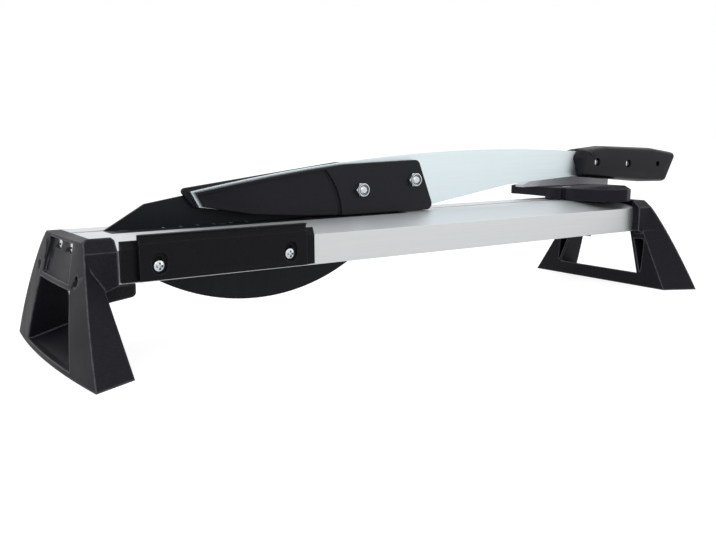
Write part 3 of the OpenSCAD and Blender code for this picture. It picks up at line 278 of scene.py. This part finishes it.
# skins of the mouldings and cut pieces: the node's own solid with its loose triangles merged, edges shorter than
# keep mm taken out, its flats made whole, and edges sharper than crease degrees rounded by width mm in some steps;
# with no width the edges stay as the solid has them
softEdges = {
    "left_foot": {"width": 0, "keep": 0.02, "steps": 0, "crease": 24},
    "right_foot": {"width": 0, "keep": 0.02, "steps": 0, "crease": 24},
    "table": {"width": 0, "keep": 0.01, "steps": 0, "crease": 8},
    "guard_front": {"width": 0.7, "keep": 0.2, "steps": 3, "crease": 28},
    "guard_rear": {"width": 0.6, "keep": 0.2, "steps": 2, "crease": 28},
    "lever_arm": {"width": 0.3, "keep": 0.05, "steps": 2, "crease": 18},
    "backing_plate": {"width": 0, "keep": 0.01, "steps": 0, "crease": 14},
    "front_plate": {"width": 0.7, "keep": 0.2, "steps": 3, "crease": 14},
    "stop_body": {"width": 0.8, "keep": 0.2, "steps": 3, "crease": 28},
    "stop_bar": {"width": 0, "keep": 0.01, "steps": 0, "crease": 14},
    "blade": {"width": 0, "keep": 0.01, "steps": 0, "crease": 28},
    "counter_blade": {"width": 0.25, "keep": 0.2, "steps": 1, "crease": 28},
    "clamp_knob": {"width": 0.5, "keep": 0.2, "steps": 2, "crease": 28},
}
mergeReach = 2e-6  # metres between points that are one
flatAngle = math.radians(0.6)  # faces that meet at less than this are one flat
for node, facts in softEdges.items():
    work = bmesh.new()
    work.from_mesh(nodes[node].data)
    bmesh.ops.remove_doubles(work, verts=work.verts, dist=mergeReach)
    bmesh.ops.dissolve_degenerate(work, dist=facts["keep"] / 1000, edges=work.edges)
    bmesh.ops.dissolve_limit(work, angle_limit=flatAngle, verts=work.verts, edges=work.edges)
    mesh = bpy.data.meshes.new(node + ".skin")
    work.to_mesh(mesh)
    work.free()
    mesh.shade_smooth()
    mesh.set_sharp_from_angle(angle=math.radians(facts["crease"]))
    piece = place(node + ".skin", mesh, bodyOf[node], slotOf[node], node)
    if facts["width"]:
        roundEdges(piece, facts["width"], facts["steps"], facts["crease"])
print("mouldings skinned,", len(softEdges))


# handle scales: nine centres strung round the outline carry its corner arcs, the wall rounds over to a crowned
# outer face, and the root end is drawn back towards that face; all in mm from the middle of the table
handleFacts = {
    "root": 259.0, "tip": 431.0, "rootTop": 153.5, "rootLow": 120.5, "tipTop": 147.1, "tipLow": 110.6,
    "corner": 6.0, "slant": 14.0, "thick": 13.0, "crown": 0.7, "roundOver": 5.6, "ridge": 0.6,
    "scales": {"handle_front": (7.3, -1, 8.0), "handle_rear": (11.3, 1, -5.0)},  # mating face, way out, root draw
    "screws": ((286.0, 137.2), (340.7, 134.3)), "hangHole": (395.4, 132.7), "holeRadius": 3.2, "sink": 4.0,
    "bores": {"handle_front": (2.6, 4.55), "handle_rear": (3.85, 4.98)},  # radius right through, radius of the seat
    "overrun": 5, "crease": 40,
    "edges": {"width": 0.35, "steps": 2, "crease": 45},
}


# wall ring i: each centre's arc runs from the normal of the side before it to that of the side after it, at the
# corner radius less the inset; the inset and the depth follow a superellipse of power 2.5, and the inset is less
# at the root. cap rings: the last wall ring drawn towards a spine along the handle, rising by the crown as a parabola
def handleRings(out, draw, arcPoints=9, wallRings=13):
    h = handleFacts
    r, root, tip = h["corner"], h["root"] + h["corner"], h["tip"]
    curve = 0.8  # 2 over the superellipse's power
    swing = np.linspace(0, math.pi / 2, wallRings)
    depth = np.sin(swing) ** curve
    inset = h["roundOver"] * (1 - np.abs(np.cos(swing)) ** curve)
    centres = np.array([
        [root, h["rootTop"] - 11.5],              # root end, under its bevel
        [root + 4, h["rootTop"] - 7],             # the bevel's upper end
        [root + 14, h["rootTop"] - r],            # start of the top
        [root + 38.8, h["rootTop"] + 2 - r],      # the top's high point
        [tip - 44.3, h["rootTop"] - 1.2 - r],     # where the top falls away
        [tip - r, h["tipTop"] - r],               # tip, upper corner
        [tip - h["slant"] - r, h["tipLow"] + r],  # tip, lower corner
        [tip - 58, h["tipLow"] + 1.1 + r],        # bend in the underside
        [root + 7, h["rootLow"] + r],             # root, lower corner
    ])
    drawShare = np.array([0.85, 0.6, 0, 0, 0, 0, 0, 0, -0.6])  # how far each centre goes with the root draw
    strung = np.repeat(centres[None], wallRings, 0)
    strung[:, :, 0] += draw * depth[:, None] * drawShare[None, :]
    side = np.roll(strung, -1, 1) - strung
    after = np.arctan2(side[..., 0], -side[..., 1])
    before = np.roll(after, 1, 1)
    turn = (after - before + math.pi) % (2 * math.pi) - math.pi
    angle = before[..., None] + turn[..., None] * np.linspace(0, 1, arcPoints)
    normal = np.stack([np.cos(angle), np.sin(angle)], -1)
    rootward = np.clip(-1.4 * normal[..., 0], 0, 1) ** 2
    reach = r - inset[:, None, None] * (1 - h["ridge"] * rootward)
    wall = (strung[:, :, None, :] + reach[..., None] * normal).reshape(wallRings, -1, 2)
    spineA = np.array([root + 20, (h["rootTop"] + h["rootLow"]) / 2])
    spineB = np.array([tip - 26, (h["tipTop"] + h["tipLow"]) / 2])
    along = np.clip((wall[-1, :, :1] - spineA[0]) / (spineB[0] - spineA[0]), 0, 1)
    pull = np.array([0.2, 0.45, 0.75])[:, None, None]  # how near the spine each cap ring lies
    cap = wall[-1][None] * (1 - pull) + (spineA + along * (spineB - spineA))[None] * pull
    plan = np.concatenate([wall, cap])
    rise = np.concatenate([(h["thick"] - h["crown"]) * depth,
                           h["thick"] - h["crown"] * (1 - pull[:, 0, 0]) ** 2])
    return plan, out * np.repeat(rise[:, None], plan.shape[1], 1)


# rings of points joined into a closed skin: four-sided faces between rings, one flat face at each end
def ringSkin(name, points):
    rings, count = points.shape[:2]
    index = np.arange(rings * count).reshape(rings, count)
    ahead = np.roll(index, -1, 1)
    quads = np.stack([index[:-1], ahead[:-1], ahead[1:], index[1:]], -1).reshape(-1, 4)
    ends = [index[0].tolist(), index[-1].tolist()]
    mesh = bpy.data.meshes.new(name)
    mesh.from_pydata(points.reshape(-1, 3).tolist(), [], quads.tolist() + ends)
    work = bmesh.new()
    work.from_mesh(mesh)
    bmesh.ops.remove_doubles(work, verts=work.verts, dist=1e-6)
    bmesh.ops.recalc_face_normals(work, faces=work.faces)
    work.to_mesh(mesh)
    work.free()
    return mesh


# bore: a stepped profile of radius against Y, turned about an axis along Y at the given spot
def boreSkin(name, spot, profile, points=40):
    angle = np.linspace(0, 2 * math.pi, points, endpoint=False)
    radius, y = np.array(profile).T
    x = spot[0] + frameShift + radius[:, None] * np.cos(angle)
    z = spot[1] + radius[:, None] * np.sin(angle)
    return ringSkin(name, np.stack([x, np.repeat(y[:, None], points, 1), z], -1) / 1000)


def cutAway(piece, cutterMesh):
    cutter = bpy.data.objects.new("cutter", cutterMesh)
    bpy.context.scene.collection.objects.link(cutter)
    hollow = piece.modifiers.new("bores", "BOOLEAN")
    hollow.operation, hollow.solver, hollow.object = "DIFFERENCE", "EXACT", cutter
    bpy.context.view_layer.update()
    cut = bpy.data.meshes.new_from_object(piece.evaluated_get(bpy.context.evaluated_depsgraph_get()))
    piece.modifiers.clear()
    piece.data = cut
    bpy.data.objects.remove(cutter)


for node, (mating, out, draw) in handleFacts["scales"].items():
    plan, rise = handleRings(out, draw)
    points = np.stack([plan[..., 0] + frameShift, mating + rise, plan[..., 1]], -1) / 1000
    piece = place(node + ".skin", ringSkin(node + ".skin", points), bodyOf[node], slotOf[node], node)
    through, seat = handleFacts["bores"][node]
    hole = handleFacts["holeRadius"]
    inner = mating - handleFacts["overrun"] * out
    outer = mating + 2 * handleFacts["thick"] * out
    shelf = mating + (handleFacts["thick"] - handleFacts["sink"]) * out
    stepped = [(through, inner), (through, shelf), (seat, shelf), (seat, outer)]
    for spot in handleFacts["screws"]:
        cutAway(piece, boreSkin("bore", spot, stepped))
    cutAway(piece, boreSkin("bore", handleFacts["hangHole"], [(hole, inner), (hole, outer)]))
    piece.data.shade_smooth()
    piece.data.set_sharp_from_angle(angle=math.radians(handleFacts["crease"]))
    roundEdges(piece, **handleFacts["edges"])
    print(node, "scale lofted,", len(piece.data.polygons), "faces")

# plain scale ticks on the counter blade: thin strokes across it, evenly spaced; all in mm
tickFacts = {
    "first": -231.3, "pitch": 15.4, "count": 6, "wide": 0.7,
    "low": 8.5, "high": 14.0, "base": 94.99, "top": 95.05,
}
tickX = tickFacts["first"] + tickFacts["pitch"] * np.arange(tickFacts["count"]) + frameShift
corner = np.array([[-1, 0], [1, 0], [1, 1], [-1, 1]])
strokeX = tickX[:, None] + corner[None, :, 0] * tickFacts["wide"] / 2
strokeY = tickFacts["low"] + corner[:, 1] * (tickFacts["high"] - tickFacts["low"])
tickPlan = np.stack([strokeX, np.tile(strokeY, (tickX.size, 1))], -1)
tickLevels = np.array([tickFacts["base"], tickFacts["top"]])
tickHeights = np.broadcast_to(tickLevels[None, :, None, None], (tickX.size, 2, 4, 1))
tickPoints = np.concatenate([np.repeat(tickPlan[:, None], 2, 1), tickHeights], -1) / 1000
block = np.array([[3, 2, 1, 0], [4, 5, 6, 7], [0, 1, 5, 4], [1, 2, 6, 5], [2, 3, 7, 6], [3, 0, 4, 7]])
tickFaces = (np.arange(tickX.size)[:, None, None] * 8 + block[None]).reshape(-1, 4)
tickMesh = bpy.data.meshes.new("blade_ticks")
tickMesh.from_pydata(tickPoints.reshape(-1, 3).tolist(), [], tickFaces.tolist())
place("blade_ticks", tickMesh, "base", "zinc_steel")
# the ticks are cut and filled with white paint, matt and a little rubbed
tickMesh.materials[0] = mouldedPlastic("whitePaintFill", "f0f0ee", "c9c9c6", rough=0.6, grain=0.8, depth=0.005,
                                       edge=0.2, gloss=0.3)
print("ticks laid,", tickX.size)

# nodes that keep their own mesh get the finish of their slot
for name, obj in nodes.items():
    for matSlot in obj.material_slots:
        matSlot.link = "OBJECT"
        matSlot.material = finishes[slotOf[name]]
print("finishes on", len(nodes), "nodes")


# floor: a plain pale sweep that reads white, with the cutter's soft shadow on it; half its side in metres,
# and the glow added where it is seen and where it is mirrored
floorFacts = {"half": 12, "paint": "b4b4b4", "seenGlow": 0.8, "mirroredGlow": 0.45}
half = floorFacts["half"]
floorMesh = bpy.data.meshes.new("floor")
floorMesh.from_pydata([(-half, -half, 0), (half, -half, 0), (half, half, 0), (-half, half, 0)], [], [(0, 1, 2, 3)])
floor = bpy.data.objects.new("floor", floorMesh)
bpy.context.scene.collection.objects.link(floor)
floorPaint, tree = blank("paleFloor")
path = add(tree, "LightPath")
mirrored = add(tree, "Math", {"operation": "MAXIMUM"}, {},
               {0: path.outputs["Is Glossy Ray"], 1: path.outputs["Is Transmission Ray"]})
matt = add(tree, "BsdfDiffuse", {}, {"Color": linear(floorFacts["paint"])})
dim = add(tree, "Math", {"operation": "MULTIPLY"}, {1: floorFacts["mirroredGlow"]}, {0: mirrored.outputs["Value"]})
lift = add(tree, "Math", {"operation": "MULTIPLY_ADD"}, {1: floorFacts["seenGlow"]},
           {0: path.outputs["Is Camera Ray"], 2: dim.outputs["Value"]})
glow = add(tree, "Emission", {}, {"Color": linear("ffffff")}, {"Strength": lift.outputs["Value"]})
both = add(tree, "AddShader", {}, {}, {0: matt.outputs["BSDF"], 1: glow.outputs["Emission"]})
add(tree, "OutputMaterial", {}, {}, {"Surface": both.outputs["Shader"]})
floorMesh.materials.append(floorPaint)

# world: white where it is seen or mirrored, a plain even light elsewhere
worldFacts = {"even": 0.72, "seen": 1.0}
world = bpy.data.worlds.new("studio")
bpy.context.scene.world = world
world.use_nodes = True
tree = world.node_tree
tree.nodes.clear()
path = add(tree, "LightPath")
direct = add(tree, "Math", {"operation": "MAXIMUM"}, {},
             {0: path.outputs["Is Camera Ray"], 1: path.outputs["Is Glossy Ray"]})
seen = add(tree, "Math", {"operation": "MAXIMUM"}, {},
           {0: direct.outputs["Value"], 1: path.outputs["Is Transmission Ray"]})
strength = add(tree, "MapRange", {}, {"To Min": worldFacts["even"], "To Max": worldFacts["seen"]},
               {"Value": seen.outputs["Value"]})
sky = add(tree, "Background", {}, {"Color": linear("ffffff")}, {"Strength": strength.outputs["Result"]})
add(tree, "OutputWorld", {}, {}, {"Surface": sky.outputs["Background"]})

# three soft boxes turned to the middle of the cutter: place, width and height in metres, power in watts
lampTarget = Vector((0, 0, 0.08))
softBoxes = {
    "keyBox": {"spot": (-1.5, -1.5, 1.5), "wide": 1.4, "high": 1.0, "power": 4.5},
    "fillBox": {"spot": (1.3, -1.7, 0.9), "wide": 1.2, "high": 1.2, "power": 3.5},
    "topBox": {"spot": (0.0, 0.5, 1.9), "wide": 1.8, "high": 1.0, "power": 4},
}
for name, facts in softBoxes.items():
    lamp = bpy.data.lights.new(name, "AREA")
    lamp.shape = "RECTANGLE"
    lamp.size, lamp.size_y, lamp.energy = facts["wide"], facts["high"], facts["power"]
    box = bpy.data.objects.new(name, lamp)
    box.location = facts["spot"]
    box.rotation_euler = (lampTarget - Vector(facts["spot"])).to_track_quat("-Z", "Y").to_euler()
    bpy.context.scene.collection.objects.link(box)
bpy.context.scene.view_settings.view_transform = "Standard"
print("floor, world and lamps set")
